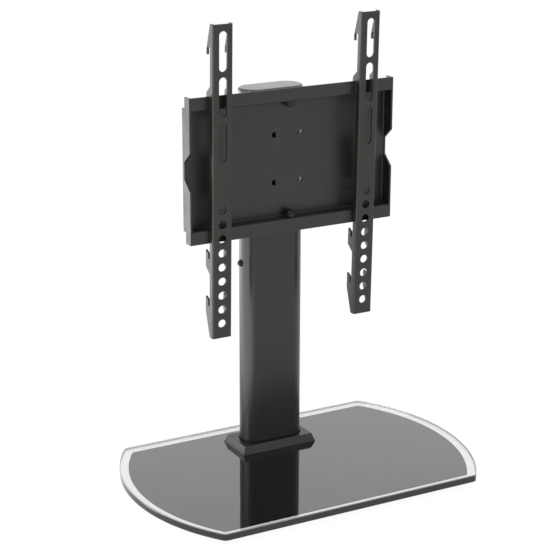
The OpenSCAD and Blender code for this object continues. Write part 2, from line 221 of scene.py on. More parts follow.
def softbox(name, place, target, width, height, power):
    """A rectangular area lamp that looks at a point."""
    data = bpy.data.lights.new(name, "AREA")
    data.shape = "RECTANGLE"
    data.size = width
    data.size_y = height
    data.energy = power
    lamp = bpy.data.objects.new(name, data)
    bpy.context.scene.collection.objects.link(lamp)
    ahead = Vector(target) - Vector(place)
    facing = ahead.to_track_quat("-Z", "Y").to_matrix().to_4x4()
    lamp.matrix_world = Matrix.Translation(place) @ facing
    lamp.visible_camera = False
    print(name, "watts", power)
    return lamp


def floor_glow(name, x, y, width, height, power):
    """A softbox that lies on the floor and faces up. A hair of lean fixes its own turn."""
    return softbox(name, (x, y, GLOW_HEIGHT), (x, y + HAIR, 1.0), width, height, power)


collar_place = (0.0, 0.05, 0.10)
floor_glow("near_floor_glow", -0.65, 0.25, 0.9, 1.1, 6.0)
floor_glow("far_floor_glow", -0.90, 1.50, 1.6, 1.4, 21.0)
floor_glow("front_left_glow", -1.20, -0.50, 0.8, 0.8, 2.0)
softbox("back_left_panel", (-0.90, 1.60, 0.45), collar_place, 1.2, 0.5, 3.0)
softbox("left_panel", (-1.40, 0.15, 0.50), collar_place, 1.0, 0.4, 4.0)
softbox("top_lamp", (0.3, 0.6, 2.4), (0.0, 0.0, 0.25), 1.8, 1.8, 2.0)
softbox("edge_lamp", (-1.70, -0.70, 1.75), collar_place, 0.4, 0.4, 6.0)

# %% [markdown]
# Several finishes share the same small effects: a coating's grain, slow changes of
# tone, smears that change the gloss, edges made lighter partly for wear and partly as
# a painted highlight, and settled dust. Each effect is one node group with named
# inputs, built once. A group gives only colours, masks and heights, and the shader
# itself stays in each material. The patterns read object coordinates, which are metres
# here, so a pattern's size is a real size. Most values of a noise lie between 0.35 and
# 0.65, so each group spreads a range round the middle over the range that it needs.

# %% Groups for shared effects
FLOAT = "NodeSocketFloat"
MOTTLE_SIZE = 20 * MM
SMEAR_SIZE = 30 * MM
EDGE_PATCH_SIZE = 12 * MM
DUST_SIZE = 20 * MM
LINE_WIDTH = 0.8 * MM
NOISE_RANGE = (0.35, 0.65)


def start_group(name, inputs, outputs):
    """An empty shader group with named number inputs and outputs."""
    group = bpy.data.node_groups.new(name, "ShaderNodeTree")
    for label, value in inputs.items():
        socket = group.interface.new_socket(name=label, in_out="INPUT", socket_type=FLOAT)
        socket.default_value = value
    for label in outputs:
        group.interface.new_socket(name=label, in_out="OUTPUT", socket_type=FLOAT)
    source = group.nodes.new("NodeGroupInput")
    return group, source.outputs


def finish_group(group, results):
    """Joins the results to the group's outputs."""
    feed(group, group.nodes.new("NodeGroupOutput"), results)
    print("group", group.name)
    return group


def noise(tree, size, detail=2.0, stretch=(1.0, 1.0, 1.0)):
    """Smooth noise whose features have a real size, stretched along some axes."""
    place = add_node(tree, "ShaderNodeTexCoord").outputs["Object"]
    if stretch != (1.0, 1.0, 1.0):
        scale = tuple(1 / s for s in stretch)
        place = add_node(tree, "ShaderNodeMapping", {"Vector": place, "Scale": scale}).outputs[0]
    scale = maths(tree, "DIVIDE", 1.0, size)
    sockets = {"Vector": place, "Scale": scale, "Detail": detail}
    return add_node(tree, "ShaderNodeTexNoise", sockets).outputs[0]


def spread(tree, value, low, high, to_low, to_high):
    """Maps a range of values on to another one and clamps it."""
    return add_node(tree, "ShaderNodeMapRange", {"Value": value, "From Min": low, "From Max": high,
        "To Min": to_low, "To Max": to_high}).outputs[0]


# %% [markdown]
# A sprayed coat has a fine grain that catches the light and a slow mottle where the
# film is thicker or thinner. Both are noise, twenty to fifty times apart in size.

# %% Grain and mottle


def grain_group():
    """The fine height of a sprayed coat, and its slow change of tone."""
    group, sizes = start_group("coat_grain",
        {"Grain Size": 0.5 * MM, "Mottle Size": MOTTLE_SIZE, "Mottle": 0.1}, ["Height", "Tone"])
    grain = noise(group, sizes["Grain Size"])
    slow = noise(group, sizes["Mottle Size"], detail=3.0)
    low = maths(group, "SUBTRACT", 1.0, sizes["Mottle"])
    high = maths(group, "ADD", 1.0, sizes["Mottle"])
    tone = spread(group, slow, *NOISE_RANGE, low, high)
    return finish_group(group, {"Height": grain, "Tone": tone})


GRAIN = grain_group()

# %% [markdown]
# The other four effects are what use and making leave behind, with one part that is
# painted light. Hands and cloths change the gloss in patches, drawing leaves lines along
# a tube, rounded edges are made lighter, partly for wear and partly as a painted
# highlight, and dust settles on what faces up. Each range below is the part of the
# noise, or of the upward slope, over which the effect grows from least to full.

# %% Smears, lines, lightened edges and dust
LINE_STRETCH = 200.0
EDGE_PATCH_RANGE = (0.4, 0.6)
LEAST_EDGE_PATCH = 0.35
DUST_RANGE = (0.35, 0.7)
LEAST_DUST = 0.4
UPWARD_RANGE = (0.7, 0.98)


def smear_group():
    """Where hands and cloths have been, a surface is a little shinier or duller."""
    group, sizes = start_group("handling_smears",
        {"Low": 0.3, "High": 0.4, "Size": SMEAR_SIZE}, ["Roughness"])
    patches = noise(group, sizes["Size"], detail=4.0)
    rough = spread(group, patches, *NOISE_RANGE, sizes["Low"], sizes["High"])
    return finish_group(group, {"Roughness": rough})


def line_group():
    """Fine lines along the length of a drawn or extruded part that stands upright."""
    group, sizes = start_group("drawn_lines", {"Width": LINE_WIDTH}, ["Height"])
    lines = noise(group, sizes["Width"], detail=1.0, stretch=(1.0, 1.0, LINE_STRETCH))
    return finish_group(group, {"Height": lines})


def rubbed_edge_group():
    """Rounded edges are marked on the mesh and made lighter, partly as wear and partly as a painted
    highlight. A noise breaks the mark up in patches.
    """
    group, sizes = start_group("rubbed_and_highlit_edges", {"Amount": 0.5, "Patch Size": EDGE_PATCH_SIZE}, ["Mask"])
    marked = add_node(group, "ShaderNodeAttribute", attribute_name="rounded_edge").outputs["Fac"]
    patches = noise(group, sizes["Patch Size"], detail=3.0)
    patches = spread(group, patches, *EDGE_PATCH_RANGE, LEAST_EDGE_PATCH, 1.0)
    mask = maths(group, "MULTIPLY", maths(group, "MULTIPLY", marked, patches), sizes["Amount"])
    return finish_group(group, {"Mask": mask})


def dust_group():
    """Dust lies on what faces up, thicker in some places than in others."""
    group, sizes = start_group("settled_dust", {"Amount": 0.1, "Patch Size": DUST_SIZE}, ["Mask"])
    normal = add_node(group, "ShaderNodeNewGeometry").outputs["Normal"]
    upward = add_node(group, "ShaderNodeSeparateXYZ", {0: normal}).outputs["Z"]
    level = spread(group, upward, *UPWARD_RANGE, 0.0, 1.0)
    patches = noise(group, sizes["Patch Size"], detail=4.0)
    patches = spread(group, patches, *DUST_RANGE, LEAST_DUST, 1.0)
    mask = maths(group, "MULTIPLY", maths(group, "MULTIPLY", level, patches), sizes["Amount"])
    return finish_group(group, {"Mask": mask})


SMEARS = smear_group()
LINES = line_group()
RUBBED_AND_HIGHLIT = rubbed_edge_group()
DUST = dust_group()

# %% [markdown]
# A finish is a shader with a colour, a roughness and a bump, each fed by groups.
# The colour starts plain, is multiplied by the mottle, turns lighter along rounded
# edges, partly for wear and partly as a painted highlight, and takes a little dust.
# Numbers that are the same all over, such as the index of refraction or the clear
# coat, are set on the shader itself.

# %% Building a finish
DUST_COLOUR = grey(0.32, (1.0, 0.97, 0.91))
DUST_ROUGHNESS = 0.4


def use_group(tree, group, **sockets):
    """Places a group and gives its outputs. Underscores in names stand for spaces."""
    node = add_node(tree, "ShaderNodeGroup", node_tree=group)
    feed(tree, node, {key.replace("_", " "): value for key, value in sockets.items()})
    return node.outputs


def blend_colours(tree, share, first, second, kind="MIX"):
    """Mixes two colours by a share between 0 and 1."""
    sockets = {0: share, 6: first, 7: second}
    return add_node(tree, "ShaderNodeMix", sockets, data_type="RGBA", blend_type=kind).outputs[2]


def coated(name, colour, rough, grain, mottle, relief,
           rub_and_highlight=0.0, rub_and_highlight_colour=None, dust=0.0, lines=0.0, **fixed):
    """A finish with grain, mottle, smears, edges lightened partly for wear and partly as a
    painted highlight, and dust. Extra names are the shader's own sockets, set to plain numbers."""
    material, tree = empty_material(name)
    coat = use_group(tree, GRAIN, Grain_Size=grain, Mottle_Size=MOTTLE_SIZE, Mottle=mottle)
    tone = add_node(tree, "ShaderNodeCombineColor", {i: coat["Tone"] for i in range(3)}).outputs[0]
    shown = blend_colours(tree, 1.0, colour, tone, "MULTIPLY")
    gloss = use_group(tree, SMEARS, Low=rough[0], High=rough[1], Size=SMEAR_SIZE)["Roughness"]
    height = coat["Height"]
    if rub_and_highlight:
        # Rounded edges take a lighter colour: partly wear, partly a painted highlight.
        mask = use_group(tree, RUBBED_AND_HIGHLIT, Amount=rub_and_highlight, Patch_Size=EDGE_PATCH_SIZE)["Mask"]
        shown = blend_colours(tree, mask, shown, rub_and_highlight_colour)
    if dust:
        mask = use_group(tree, DUST, Amount=dust, Patch_Size=DUST_SIZE)["Mask"]
        shown = blend_colours(tree, mask, shown, DUST_COLOUR)
        gloss = maths(tree, "ADD", gloss, maths(tree, "MULTIPLY", mask, DUST_ROUGHNESS))
    if lines:
        drawn = use_group(tree, LINES, Width=LINE_WIDTH)["Height"]
        height = maths(tree, "ADD", height, maths(tree, "MULTIPLY", drawn, lines))
    bump = add_node(tree, "ShaderNodeBump", {"Strength": 1.0, "Distance": relief, "Height": height})
    sockets = {"Base Color": shown, "Roughness": gloss, "Normal": bump.outputs[0]}
    sockets.update({key.replace("_", " "): value for key, value in fixed.items()})
    show(tree, add_node(tree, "ShaderNodeBsdfPrincipled", sockets))
    print("finish", name)
    return material


# %% [markdown]
# The steel plate, rails and bracket have a black powder coat with a fine texture.
# The column is drawn aluminium under a smoother black lacquer, so it also has
# faint lines along its length. The collar is satin black plastic and the cap a
# glossy one, whose second layer of gloss lets its flat top mirror the white
# studio at the low angle of the photograph.

# %% Black finishes
# The lighter colour that each finish below gives its rounded edges is partly wear and partly a painted
# highlight.
powder = coated("black_powder_coat", grey(0.010, (1.0, 0.98, 0.68)), rough=(0.38, 0.46),
    grain=0.45 * MM, mottle=0.12, relief=6 * MICRON,
    rub_and_highlight=0.5, rub_and_highlight_colour=grey(0.035), dust=0.02, IOR=1.56)
column_lacquer = coated("black_column_lacquer", grey(0.008), rough=(0.285, 0.30),
    grain=0.8 * MM, mottle=0.06, relief=0.3 * MICRON, lines=1.0, IOR=1.55)
collar_plastic = coated("satin_black_plastic", grey(0.008, (1.0, 1.0, 0.97)), rough=(0.18, 0.26),
    grain=0.6 * MM, mottle=0.1, relief=3 * MICRON,
    rub_and_highlight=0.5, rub_and_highlight_colour=grey(0.05), dust=0.02, IOR=1.5)
cap_plastic = coated("glossy_black_plastic", grey(0.012), rough=(0.17, 0.23),
    grain=1.0 * MM, mottle=0.1, relief=2 * MICRON,
    rub_and_highlight=0.3, rub_and_highlight_colour=grey(0.05), dust=0.12, Coat_Weight=0.5, Coat_IOR=1.6, Coat_Roughness=0.1)
black_oxide = coated("black_oxide_steel", grey(0.006, (1.0, 0.98, 0.95)), rough=(0.34, 0.48),
    grain=0.4 * MM, mottle=0.25, relief=4 * MICRON, IOR=1.45)

# %% [markdown]
# The parts below and inside are plain engineering finishes: zinc plate, moulded
# rubber, natural nylon and the grey skin of a die casting.

# %% Hardware finishes
# The zinc's lighter rounded edges are partly wear and partly a painted highlight.
zinc = coated("zinc_plate", grey(0.47, (1.0, 0.99, 0.95)), rough=(0.26, 0.42),
    grain=0.6 * MM, mottle=0.14, relief=5 * MICRON, rub_and_highlight=0.5, rub_and_highlight_colour=grey(0.6), Metallic=1.0)
cast_metal = coated("die_cast_metal", grey(0.40), rough=(0.45, 0.6),
    grain=1.0 * MM, mottle=0.1, relief=30 * MICRON, Metallic=1.0)
rubber = coated("moulded_rubber", grey(0.02), rough=(0.62, 0.75),
    grain=0.6 * MM, mottle=0.15, relief=10 * MICRON, dust=0.05)
nylon = coated("natural_nylon", grey(0.68, (1.0, 0.985, 0.93)), rough=(0.35, 0.45),
    grain=0.9 * MM, mottle=0.04, relief=4 * MICRON)

# %% [markdown]
# The glass is a real transmitting solid, so its clear border shows the floor
# through it. Its faint green body colour comes from the base colour. The wall of
# the pane is another matter: light that reaches it has come a long way through
# the glass, and in the photograph the wall is a thin, even, dark grey line. Traced
# in full it breaks up into dots, so the wall is a darker glass that lets only part
# of the light through. The bevel that is ground beside it is a matt grey. The
# black print is a separate face under the pane, without gloss of its own, because
# the ink lies on the glass with no air between them.

# %% Glass and ink
GLASS_IOR = 1.5
PANE_COLOUR = (0.79, 0.802, 0.795, 1.0)
GROUND_COLOUR = (0.42, 0.44, 0.43, 1.0)
GREENISH = (0.95, 1.05, 1.0)
WALL_DARK = grey(0.036, GREENISH)
WALL_LIGHT = grey(0.046, GREENISH)


def clear_glass():
    """The pane itself. Wiping leaves faint marks in the strength of its gloss."""
    material, tree = empty_material("clear_glass")
    wiped = use_group(tree, SMEARS, Low=0.97, High=1.0, Size=50 * MM)["Roughness"]
    show(tree, add_node(tree, "ShaderNodeBsdfPrincipled", {"Base Color": PANE_COLOUR,
        "Roughness": 0.0, "IOR": GLASS_IOR, "Transmission Weight": 1.0,
        "Coat Weight": wiped, "Coat IOR": 1.6, "Coat Roughness": 0.0}))
    return material


def ground_glass():
    """The narrow bevel that is ground on the glass and not polished."""
    material, tree = empty_material("ground_glass_edge")
    coat = use_group(tree, GRAIN, Grain_Size=0.6 * MM, Mottle_Size=10 * MM, Mottle=0.1)
    rough = spread(tree, coat["Height"], 0.3, 0.7, 0.3, 0.5)
    bump = add_node(tree, "ShaderNodeBump",
        {"Strength": 1.0, "Distance": 10 * MICRON, "Height": coat["Height"]})
    show(tree, add_node(tree, "ShaderNodeBsdfPrincipled", {"Base Color": GROUND_COLOUR,
        "Roughness": rough, "IOR": GLASS_IOR, "Normal": bump.outputs[0]}))
    return material


def wall_glass():
    """The pane's polished wall, where light has come through the length of the glass."""
    material, tree = empty_material("polished_glass_wall")
    patches = use_group(tree, SMEARS, Low=0.0, High=1.0, Size=SMEAR_SIZE)["Roughness"]
    tint = blend_colours(tree, patches, WALL_DARK, WALL_LIGHT)
    show(tree, add_node(tree, "ShaderNodeBsdfPrincipled", {"Base Color": tint,
        "Roughness": 0.02, "IOR": GLASS_IOR, "Transmission Weight": 0.4}))
    return material


ink = coated("black_screen_print", grey(0.003, (1.0, 1.0, 0.9)), rough=(0.55, 0.65),
    grain=0.4 * MM, mottle=0.1, relief=1 * MICRON, Specular_IOR_Level=0.0)
slab_finishes = [clear_glass(), ink, ground_glass(), wall_glass()]
print("the pane's finishes", ", ".join(finish.name for finish in slab_finishes))

# %% [markdown]
# Pieces made by modifiers are turned into plain mesh before they are used. Edges
# sharper than a limit stay sharp and all other faces are shaded smooth.

# %% Helpers for pieces
SHARP = math.radians(38)


def link_new(name, mesh):
    """A new object in the scene, at the origin."""
    piece = bpy.data.objects.new(name, mesh)
    bpy.context.scene.collection.objects.link(piece)
    return piece


def settle(piece):
    """Turns a piece's modifiers into plain mesh."""
    graph = bpy.context.evaluated_depsgraph_get()
    evaluated = piece.evaluated_get(graph)
    mesh = bpy.data.meshes.new_from_object(evaluated, preserve_all_data_layers=True, depsgraph=graph)
    mesh.name = piece.name
    piece.modifiers.clear()
    piece.data = mesh
    return piece


def shade(mesh):
    """Smooth faces that meet in sharp edges wherever they turn by more than a limit."""
    mesh.shade_smooth()
    mesh.set_sharp_from_angle(angle=SHARP)


def place_on(piece, body, slot, *nodes):
    """Rides on a body and stands for CAD nodes. Its slot is not used."""
    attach(piece, body)
    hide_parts(*nodes)
    faces = len(piece.data.polygons)
    print(piece.name, "rides on", body, "stands for", ", ".join(nodes), "with", faces, "faces")


# %% [markdown]
# The base is a slab of plate glass with straight long edges and bowed ends. Its
# outline follows three arcs: the bow, a small corner and their mirror images. It
# is built as rings of points, from the print's outline under the glass, out to
# the narrow bevel that a glazier grinds on every edge, and up to the flat top.
# Each band of faces between two rings takes its own finish.

# %% Base glass
BASE_LOW, BASE_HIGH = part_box("glass_base")
BASE_BULGE = 41 * MM
CORNER_RADIUS = 7 * MM
EDGE_BEVEL = 0.8 * MM
PRINT_BORDER = 9.5 * MM
BOW_STEPS = 32
CORNER_STEPS = 10
CLEAR, INK, GROUND, WALL = range(4)
BAND_FINISHES = (CLEAR, GROUND, WALL, GROUND)


def arc_points(centre, radius, start, end, steps):
    """Points along an arc, both ends included."""
    angles = [start + (end - start) * i / steps for i in range(steps + 1)]
    x, y = centre
    return [Vector((x + radius * math.cos(a), y + radius * math.sin(a))) for a in angles]


def base_outline(border, corner):
    """The base's outline, pulled in by a border: bowed ends and rounded corners."""
    half_depth = (BASE_HIGH.y - BASE_LOW.y) / 2
    half_width = (BASE_HIGH.x - BASE_LOW.x) / 2
    bow = (half_depth ** 2 + BASE_BULGE ** 2) / (2 * BASE_BULGE)
    bow_centre = half_width - bow
    corner_y = half_depth - border - corner
    corner_x = bow_centre + math.sqrt((bow - border - corner) ** 2 - corner_y ** 2)
    lean = math.atan2(corner_y, corner_x - bow_centre)
    quarter = arc_points((bow_centre, 0), bow - border, 0, lean, BOW_STEPS)
    quarter += arc_points((corner_x, corner_y), corner, lean, math.pi / 2, CORNER_STEPS)[1:]
    upper = quarter + [Vector((-p.x, p.y)) for p in reversed(quarter)]
    return upper + [Vector((p.x, -p.y)) for p in reversed(upper[1:-1])]


def glass_slab():
    """A slab with ground edges, whose underside carries the ink's faces."""
    mesh = bmesh.new()
    outer = base_outline(0, CORNER_RADIUS)
    eased = base_outline(EDGE_BEVEL, CORNER_RADIUS - EDGE_BEVEL)
    inked = base_outline(PRINT_BORDER, CORNER_RADIUS / 2)
    rings = [(inked, BASE_LOW.z), (eased, BASE_LOW.z), (outer, BASE_LOW.z + EDGE_BEVEL),
             (outer, BASE_HIGH.z - EDGE_BEVEL), (eased, BASE_HIGH.z)]
    loops = [[mesh.verts.new((p.x, p.y, z)) for p in points] for points, z in rings]
    for finish_index, low, high in zip(BAND_FINISHES, loops, loops[1:]):
        for i in range(len(outer)):
            j = (i + 1) % len(outer)
            side = mesh.faces.new((low[i], low[j], high[j], high[i]))
            side.material_index = finish_index
    mesh.faces.new(loops[-1])
    print_face = mesh.faces.new(list(reversed(loops[0])))
    print_face.material_index = INK
    bmesh.ops.recalc_face_normals(mesh, faces=mesh.faces)
    data = bpy.data.meshes.new("glass_slab")
    mesh.to_mesh(data)
    mesh.free()
    return data


slab = link_new("glass_slab", glass_slab())
for finish in slab_finishes:
    slab.data.materials.append(finish)
shade(slab.data)
place_on(slab, "stand", "glass", "glass_base")

# %% [markdown]
# Sheet metal, tube and mouldings never have knife edges: a bend, a deburring
# brush or a mould leaves a small radius, and that radius is what draws the thin
# bright lines round a black object. The imported model's shapes are right, so each
# main piece is a copy of its node with the doubles merged, a Bevel on its edges
# and weighted normals that keep the flat faces flat. The rounded faces are marked
# on the mesh, and the finishes read the mark to make them lighter, partly for wear and
# partly as a painted highlight.

# %% Rounding the edges of the main pieces
DOUBLES = 2 * MICRON
FLAT_ENOUGH = math.radians(0.5)
EDGE_ANGLE = math.radians(30)


def mark_rounded(piece):
    """Turns the second material index that Bevel gave its faces into an attribute."""
    mesh = piece.data
    marks = [float(face.material_index == 1) for face in mesh.polygons]
    layer = mesh.attributes.new("rounded_edge", "FLOAT", "FACE")
    layer.data.foreach_set("value", marks)
    for face in mesh.polygons:
        face.material_index = 0
    mesh.materials.pop()
    return sum(marks)


def dressed(node, name, edge, material, segments, reshape=None):
    """A copy of a CAD node with its doubles merged and its edges rounded. Bevel gives
    its faces the second slot, until they are marked."""
    mesh = bmesh.new()
    mesh.from_mesh(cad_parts[node].data)
    bmesh.ops.remove_doubles(mesh, verts=mesh.verts, dist=DOUBLES)
    if reshape:
        reshape(mesh)
    bmesh.ops.dissolve_limit(mesh, angle_limit=FLAT_ENOUGH, verts=mesh.verts, edges=mesh.edges)
    data = bpy.data.meshes.new(name)
    mesh.to_mesh(data)
    mesh.free()
    piece = link_new(name, data)
    data.materials.clear()
    data.materials.append(material)
    data.materials.append(material)
    data.shade_smooth()
    bevel = piece.modifiers.new("rounded edges", "BEVEL")
    bevel.width = edge
    bevel.segments = segments
    bevel.limit_method = "ANGLE"
    bevel.angle_limit = EDGE_ANGLE
    bevel.use_clamp_overlap = True
    bevel.material = 1
    flatten = piece.modifiers.new("flat faces stay flat", "WEIGHTED_NORMAL")
    flatten.mode = "FACE_AREA"
    flatten.weight = 50
    flatten.keep_sharp = True
    settle(piece)
    print(name, "rounded faces", int(mark_rounded(piece)))
    return piece


# %% [markdown]
# The cap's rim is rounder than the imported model's chamfer: in the photograph its
# light top bends over into a dark line before it meets the side. The cap follows
# a rule, so it is drawn anew: one racetrack outline, pulled in by a different
# amount at each height, from inside the hollow spigot round to the flat top.

# %% A cap with a rounded rim
LID_THICKNESS = 5.0 * MM
SPIGOT_OUTSIDE = 3.7 * MM
SPIGOT_INSIDE = 6.0 * MM
RIM_RADIUS = 2.8 * MM
RIM_STEPS = 8
END_STEPS = 36


def rounded_cap(mesh):
    """Clears a mesh and draws the cap in it."""
    mesh.clear()
    low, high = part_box("column_cap")
    radius = (high.y - low.y) / 2
    straight = (high.x - low.x) / 2 - radius
    middle_y = (high.y + low.y) / 2
    under = high.z - LID_THICKNESS
    angles = [math.pi / 2 * step / RIM_STEPS for step in range(RIM_STEPS + 1)]
    rim = [(RIM_RADIUS * (1 - math.cos(a)), high.z - RIM_RADIUS * (1 - math.sin(a))) for a in angles]
    profile = [(SPIGOT_INSIDE, under), (SPIGOT_INSIDE, low.z), (SPIGOT_OUTSIDE, low.z),
        (SPIGOT_OUTSIDE, under), (0.0, under)] + rim
    loops = []
    for inset, height in profile:
        bend = radius - inset
        outline = arc_points((straight, middle_y), bend, -math.pi / 2, math.pi / 2, END_STEPS)
        outline += arc_points((-straight, middle_y), bend, math.pi / 2, 3 * math.pi / 2, END_STEPS)
        loops.append([mesh.verts.new((point.x, point.y, height)) for point in outline])
    for lower, upper in zip(loops, loops[1:]):
        for i in range(len(lower)):
            j = (i + 1) % len(lower)
            mesh.faces.new((lower[i], lower[j], upper[j], upper[i]))
    mesh.faces.new(loops[0])
    mesh.faces.new(loops[-1])
    bmesh.ops.recalc_face_normals(mesh, faces=mesh.faces)
    print("cap drawn with", len(mesh.faces), "faces")


# %% [markdown]
# One table holds the main pieces: the node, the new piece's name, the edge radius
# in millimetres, the rings of faces round it, the finish, the body and the slot.
# Folded sheet has been brushed to about a third of a millimetre, castings and the
# moulded collar are rounder. All of them go through the same few lines.

# %% Plate, rails and column
REDRAWN = {"column_cap": rounded_cap}
main_pieces = [
    ("mounting_plate", "folded_plate", 0.35, 2, powder, "swivel_plate", "powder_coat"),
    ("left_rail", "left_hook_rail", 0.3, 2, powder, "left_rail", "powder_coat"),
    ("right_rail", "right_hook_rail", 0.3, 2, powder, "right_rail", "powder_coat"),
    ("swivel_bracket", "swivel_fork", 0.35, 2, powder, "stand", "powder_coat"),
    ("column", "column_tube", 0.25, 2, column_lacquer, "stand", "column"),
    ("collar", "bevelled_collar", 1.0, 4, collar_plastic, "stand", "collar"),
    ("column_cap", "column_lid", 0.1, 2, cap_plastic, "stand", "cap"),
    ("anchor_plate", "anchor_bar", 0.4, 2, zinc, "stand", "zinc_steel"),
    ("bracket_nut_plate", "threaded_bar", 0.4, 2, zinc, "stand", "zinc_steel"),
    ("bracket_pad", "bracket_cushion_strip", 0.3, 2, rubber, "stand", "rubber"),
    ("column_foot", "cast_column_foot", 0.5, 2, cast_metal, "stand", "cast")]
for node_name, piece_name, edge_mm, rings_of_faces, finish, body_name, slot_name in main_pieces:
    reshape = REDRAWN.get(node_name)
    rounded = dressed(node_name, piece_name, edge_mm * MM, finish, rings_of_faces, reshape)
    place_on(rounded, body_name, slot_name, node_name)

# %% [markdown]
# Screws, bolts, washers, nuts and feet are turned parts, and several of each are
# alike, so Geometry Nodes make them. The base of every tree is a solid of
# revolution: a flat grid of points is rolled up round the Z axis, and each row of
# the grid takes its radius and height from a short profile. The profile's numbers
# are worked out from the tree's named inputs, so one tree serves every size.

# %% A turned solid in Geometry Nodes
MERGE = 1 * MICRON


def whole_maths(tree, operation, first, second):
    """One step of arithmetic on whole numbers."""
    numbers = {0: first, 1: second}
    return add_node(tree, "FunctionNodeIntegerMath", numbers, operation=operation).outputs[0]


def merged(tree, solid):
    """Makes corners that lie on each other one corner."""
    sockets = {"Geometry": solid, "Distance": MERGE}
    return add_node(tree, "GeometryNodeMergeByDistance", sockets).outputs[0]


def pick_by_index(tree, index, values):
    """Gives the value at a place in a list."""
    switch = add_node(tree, "GeometryNodeIndexSwitch", data_type="FLOAT")
    for _ in values[2:]:
        switch.index_switch_items.new()
    feed(tree, switch, {"Index": index})
    feed(tree, switch, {str(place): value for place, value in enumerate(values)})
    return switch.outputs[0]


def turned(tree, sides, profile, start=0.0):
    """A solid of revolution whose profile is a list of (radius, height) pairs.
    The list starts at the lower end and runs up the outside, so that faces point outwards.
    The start angle keeps the corners of two solids apart where one is cut from the other."""
    rows = len(profile)
    grid = add_node(tree, "GeometryNodeMeshGrid", {"Vertices X": sides + 1, "Vertices Y": rows})
    index = add_node(tree, "GeometryNodeInputIndex").outputs[0]
    step = whole_maths(tree, "MODULO", index, rows)
    column = whole_maths(tree, "DIVIDE_FLOOR", index, rows)
    radius = pick_by_index(tree, step, [pair[0] for pair in profile])
    height = pick_by_index(tree, step, [pair[1] for pair in profile])
    angle = maths(tree, "ADD", maths(tree, "MULTIPLY", column, 2 * math.pi / sides), start)
    across = maths(tree, "MULTIPLY", radius, maths(tree, "COSINE", angle))
    along = maths(tree, "MULTIPLY", radius, maths(tree, "SINE", angle))
    place = add_node(tree, "ShaderNodeCombineXYZ", {0: across, 1: along, 2: height}).outputs[0]
    rolled = add_node(tree, "GeometryNodeSetPosition", {"Geometry": grid.outputs[0], "Position": place})
    return merged(tree, rolled.outputs[0])


def cut(tree, solid, tool):
    """Takes one solid away from another."""
    rest = add_node(tree, "GeometryNodeMeshBoolean", {"Mesh 1": solid, "Mesh 2": tool},
        operation="DIFFERENCE", solver="EXACT").outputs[0]
    return merged(tree, rest)


def joined(tree, operation, solids):
    """The overlap or the union of several solids."""
    node = add_node(tree, "GeometryNodeMeshBoolean", operation=operation, solver="EXACT")
    for solid in solids:
        tree.links.new(solid, node.inputs["Mesh 2"])
    return node.outputs[0]


# %% [markdown]
# A tree's inputs are its sizes, the counts and spacings of its rows and columns,
# and the place and turn of the whole set. The turned part is instanced on points
# whose positions follow from their index. The tree ends in Realize Instances and
# Set Material, because instances don't leave Blender.

# %% Sets of alike parts
KINDS = {"Columns": "NodeSocketInt", "Rows": "NodeSocketInt",
    "Column Spacing": FLOAT, "Row Spacing": FLOAT, "Turn": "NodeSocketRotation",
    "Place": "NodeSocketVector", "Finish": "NodeSocketMaterial"}


def centred_step(tree, step, count, spacing):
    """Where a step lies when a row of them is centred on zero."""
    middle = maths(tree, "DIVIDE", maths(tree, "SUBTRACT", count, 1.0), 2.0)
    return maths(tree, "MULTIPLY", maths(tree, "SUBTRACT", step, middle), spacing)


def points_in_rows(tree, size):
    """Points in columns and rows, centred on the origin."""
    index = add_node(tree, "GeometryNodeInputIndex").outputs[0]
    step = whole_maths(tree, "MODULO", index, size["Columns"])
    row = whole_maths(tree, "DIVIDE_FLOOR", index, size["Columns"])
    place = add_node(tree, "ShaderNodeCombineXYZ", {
        0: centred_step(tree, step, size["Columns"], size["Column Spacing"]),
        1: centred_step(tree, row, size["Rows"], size["Row Spacing"])}).outputs[0]
    count = whole_maths(tree, "MULTIPLY", size["Columns"], size["Rows"])
    return add_node(tree, "GeometryNodePoints", {"Count": count, "Position": place}).outputs[0]


def part_tree(name, sizes, draw):
    """A tree that draws one part from named sizes, sets it out in rows and places the set."""
    tree = bpy.data.node_groups.new(name, "GeometryNodeTree")
    for label in sizes:
        tree.interface.new_socket(name=label, in_out="INPUT", socket_type=FLOAT)
    for label, kind in KINDS.items():
        tree.interface.new_socket(name=label, in_out="INPUT", socket_type=kind)
    tree.interface.new_socket(name="Geometry", in_out="OUTPUT", socket_type="NodeSocketGeometry")
    size = tree.nodes.new("NodeGroupInput").outputs
    alike = add_node(tree, "GeometryNodeInstanceOnPoints", {"Points": points_in_rows(tree, size),
        "Instance": draw(tree, size)})
    placed = add_node(tree, "GeometryNodeTransform", {"Geometry": alike.outputs[0],
        "Rotation": size["Turn"], "Translation": size["Place"]})
    real = add_node(tree, "GeometryNodeRealizeInstances", {"Geometry": placed.outputs[0]})
    finished = add_node(tree, "GeometryNodeSetMaterial", {"Geometry": real.outputs[0],
        "Material": size["Finish"]})
    feed(tree, tree.nodes.new("NodeGroupOutput"), {"Geometry": finished.outputs[0]})
    print("tree", name, "inputs", ", ".join(sizes))
    return tree


def make_set(tree, name, finish, place, turn=(0.0, 0.0, 0.0),
             columns=1, rows=1, spacing=(0.0, 0.0), **sizes):
    """Runs a tree with its inputs set by identifier, and gives the result as a plain mesh."""
    values = {key.replace("_", " "): value for key, value in sizes.items()}
    values.update({"Columns": columns, "Rows": rows, "Column Spacing": spacing[0],
        "Row Spacing": spacing[1], "Turn": turn, "Place": place, "Finish": finish})
    piece = link_new(name, bpy.data.meshes.new(name))
    modifier = piece.modifiers.new(name, "NODES")
    modifier.node_group = tree
    for socket in tree.interface.items_tree:
        if socket.in_out == "INPUT":
            modifier[socket.identifier] = values[socket.name]
    settle(piece)
    shade(piece.data)
    return piece


